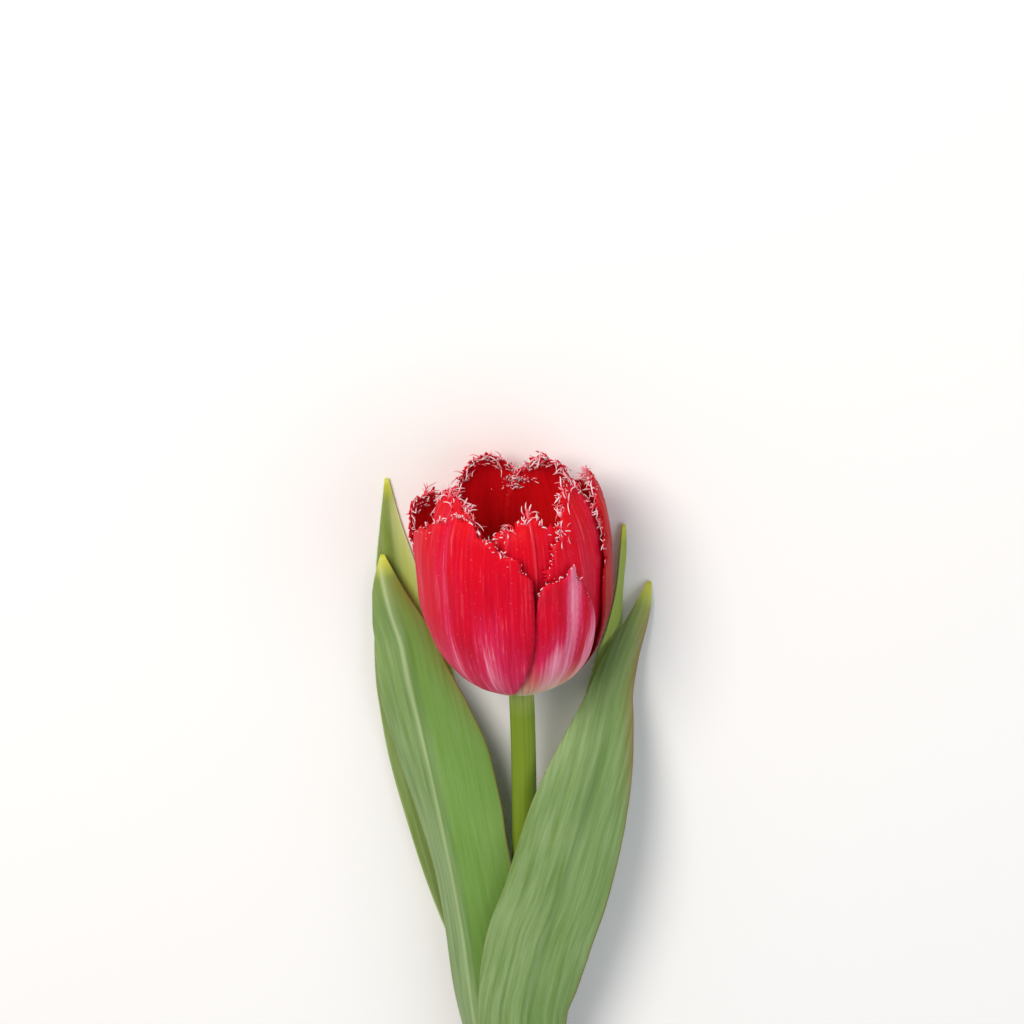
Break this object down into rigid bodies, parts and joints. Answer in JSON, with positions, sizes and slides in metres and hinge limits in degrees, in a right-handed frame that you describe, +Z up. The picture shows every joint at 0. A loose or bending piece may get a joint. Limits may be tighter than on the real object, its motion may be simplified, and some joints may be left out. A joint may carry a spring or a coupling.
{
  "type": "fringed tulip",
  "caption": "Cut fringed tulip lying on its side, with a crimson bloom edged in pale hair-like fringe, a round green stem and clasping grey-green leaves.",
  "frame": {"origin": "middle of the piece's bounding box, on the surface that it lies on", "axes": "+Y along the stem from its cut end to the bloom, +Z up from the surface, +X to the right seen from above with the bloom at the top"},
  "size_m": [0.0772, 0.3411, 0.0535],
  "materials": {
    "petal": "satin",
    "leaf": "satin",
    "stem": "satin",
    "pistil": "satin",
    "stamen": "matte"
  },
  "bodies": {
    "root": {"stem": "stem", "petal_outer_1": "petal", "petal_outer_2": "petal", "petal_outer_3": "petal", "petal_outer_4": "petal", "petal_inner_1": "petal", "petal_inner_2": "petal", "petal_inner_3": "petal", "petal_inner_4": "petal", "petal_inner_5": "petal", "pistil": "pistil", "stamen_1": "stamen", "stamen_2": "stamen", "stamen_3": "stamen", "stamen_4": "stamen", "stamen_5": "stamen", "stamen_6": "stamen", "leaf_lower": "leaf", "leaf_middle": "leaf", "leaf_third": "leaf", "leaf_upper": "leaf"}
  },
  "joints": []
}
